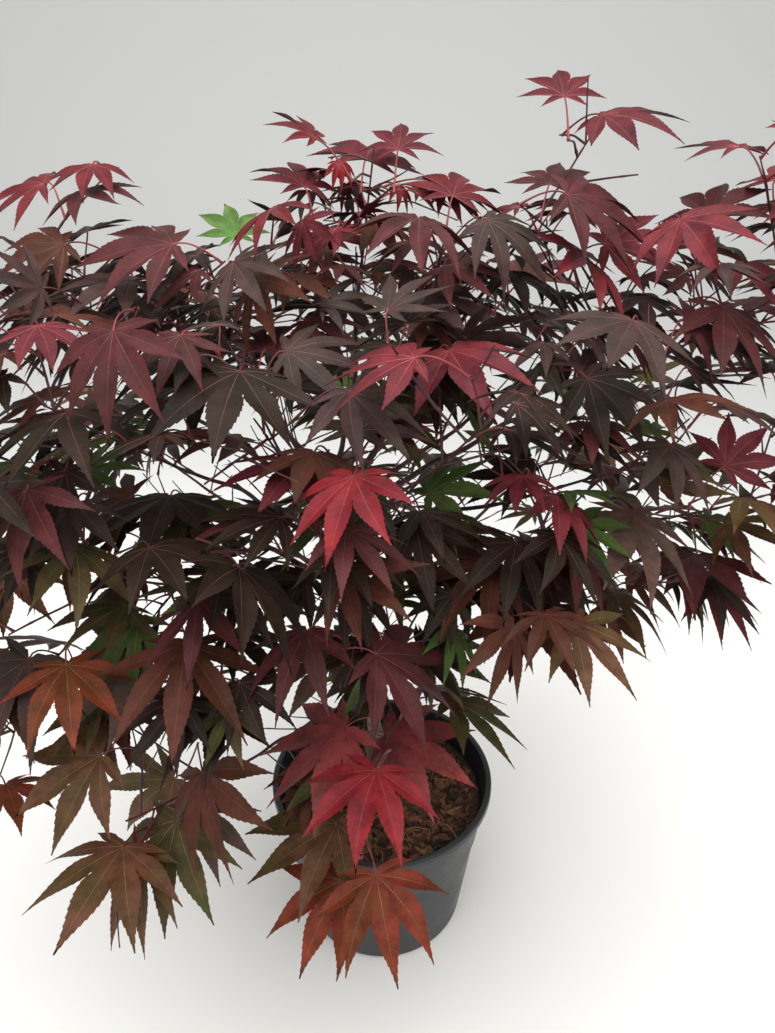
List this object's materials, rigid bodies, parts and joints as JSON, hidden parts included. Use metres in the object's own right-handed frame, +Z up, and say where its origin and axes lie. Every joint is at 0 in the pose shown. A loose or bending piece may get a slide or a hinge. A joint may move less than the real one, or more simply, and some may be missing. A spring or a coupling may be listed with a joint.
{
  "type": "potted japanese maple",
  "caption": "Young red-leaved japanese maple in a round black nursery pot: slender leaning trunk, fanned boughs and a wide open crown of drooping lobed leaves.",
  "frame": {"origin": "middle of the pot's flat underside, where it stands on the floor", "axes": "+Z up; -Y is the front, the side that the fullest low foliage hangs over; +X is to the right seen from the front"},
  "size_m": [0.7833, 0.6326, 0.8043],
  "materials": {
    "black_plastic": "satin moulded plastic",
    "potting_mix": "rough bark chips and fibre",
    "bark": "smooth young bark, dull",
    "plum_leaves": "thin leaves, low sheen"
  },
  "bodies": {
    "root": {"pot": "black_plastic", "potting_mix": "potting_mix", "trunk": "bark", "bough_sprig_middle": "bark", "bough_sprig_right": "bark", "bough_crest_left": "bark", "bough_crest_middle_left": "bark", "bough_crest_middle_right": "bark", "bough_crest_right": "bark", "bough_crest_far_right": "bark", "bough_crest_back_left": "bark", "bough_crest_back_right": "bark", "bough_brow_left": "bark", "bough_brow_middle": "bark", "bough_brow_right": "bark", "bough_brow_far_right": "bark", "bough_side_left": "bark", "bough_side_right": "bark", "bough_waist_left": "bark", "bough_waist_middle": "bark", "bough_waist_right": "bark", "bough_hip_left": "bark", "bough_hip_middle": "bark", "bough_back_left": "bark", "bough_back_middle": "bark", "bough_back_right": "bark", "bough_skirt_left": "bark", "bough_skirt_front_left": "bark", "bough_skirt_front": "bark", "bough_skirt_right": "bark", "bough_skirt_back": "bark", "foliage_sprig_middle": "plum_leaves", "foliage_sprig_right": "plum_leaves", "foliage_crest_left": "plum_leaves", "foliage_crest_middle_left": "plum_leaves", "foliage_crest_middle_right": "plum_leaves", "foliage_crest_right": "plum_leaves", "foliage_crest_far_right": "plum_leaves", "foliage_crest_back_left": "plum_leaves", "foliage_crest_back_right": "plum_leaves", "foliage_brow_left": "plum_leaves", "foliage_brow_middle": "plum_leaves", "foliage_brow_right": "plum_leaves", "foliage_brow_far_right": "plum_leaves", "foliage_side_left": "plum_leaves", "foliage_side_right": "plum_leaves", "foliage_waist_left": "plum_leaves", "foliage_waist_middle": "plum_leaves", "foliage_waist_right": "plum_leaves", "foliage_hip_left": "plum_leaves", "foliage_hip_middle": "plum_leaves", "foliage_back_left": "plum_leaves", "foliage_back_middle": "plum_leaves", "foliage_back_right": "plum_leaves", "foliage_skirt_left": "plum_leaves", "foliage_skirt_front_left": "plum_leaves", "foliage_skirt_front": "plum_leaves", "foliage_skirt_right": "plum_leaves", "foliage_skirt_back": "plum_leaves"}
  },
  "joints": []
}
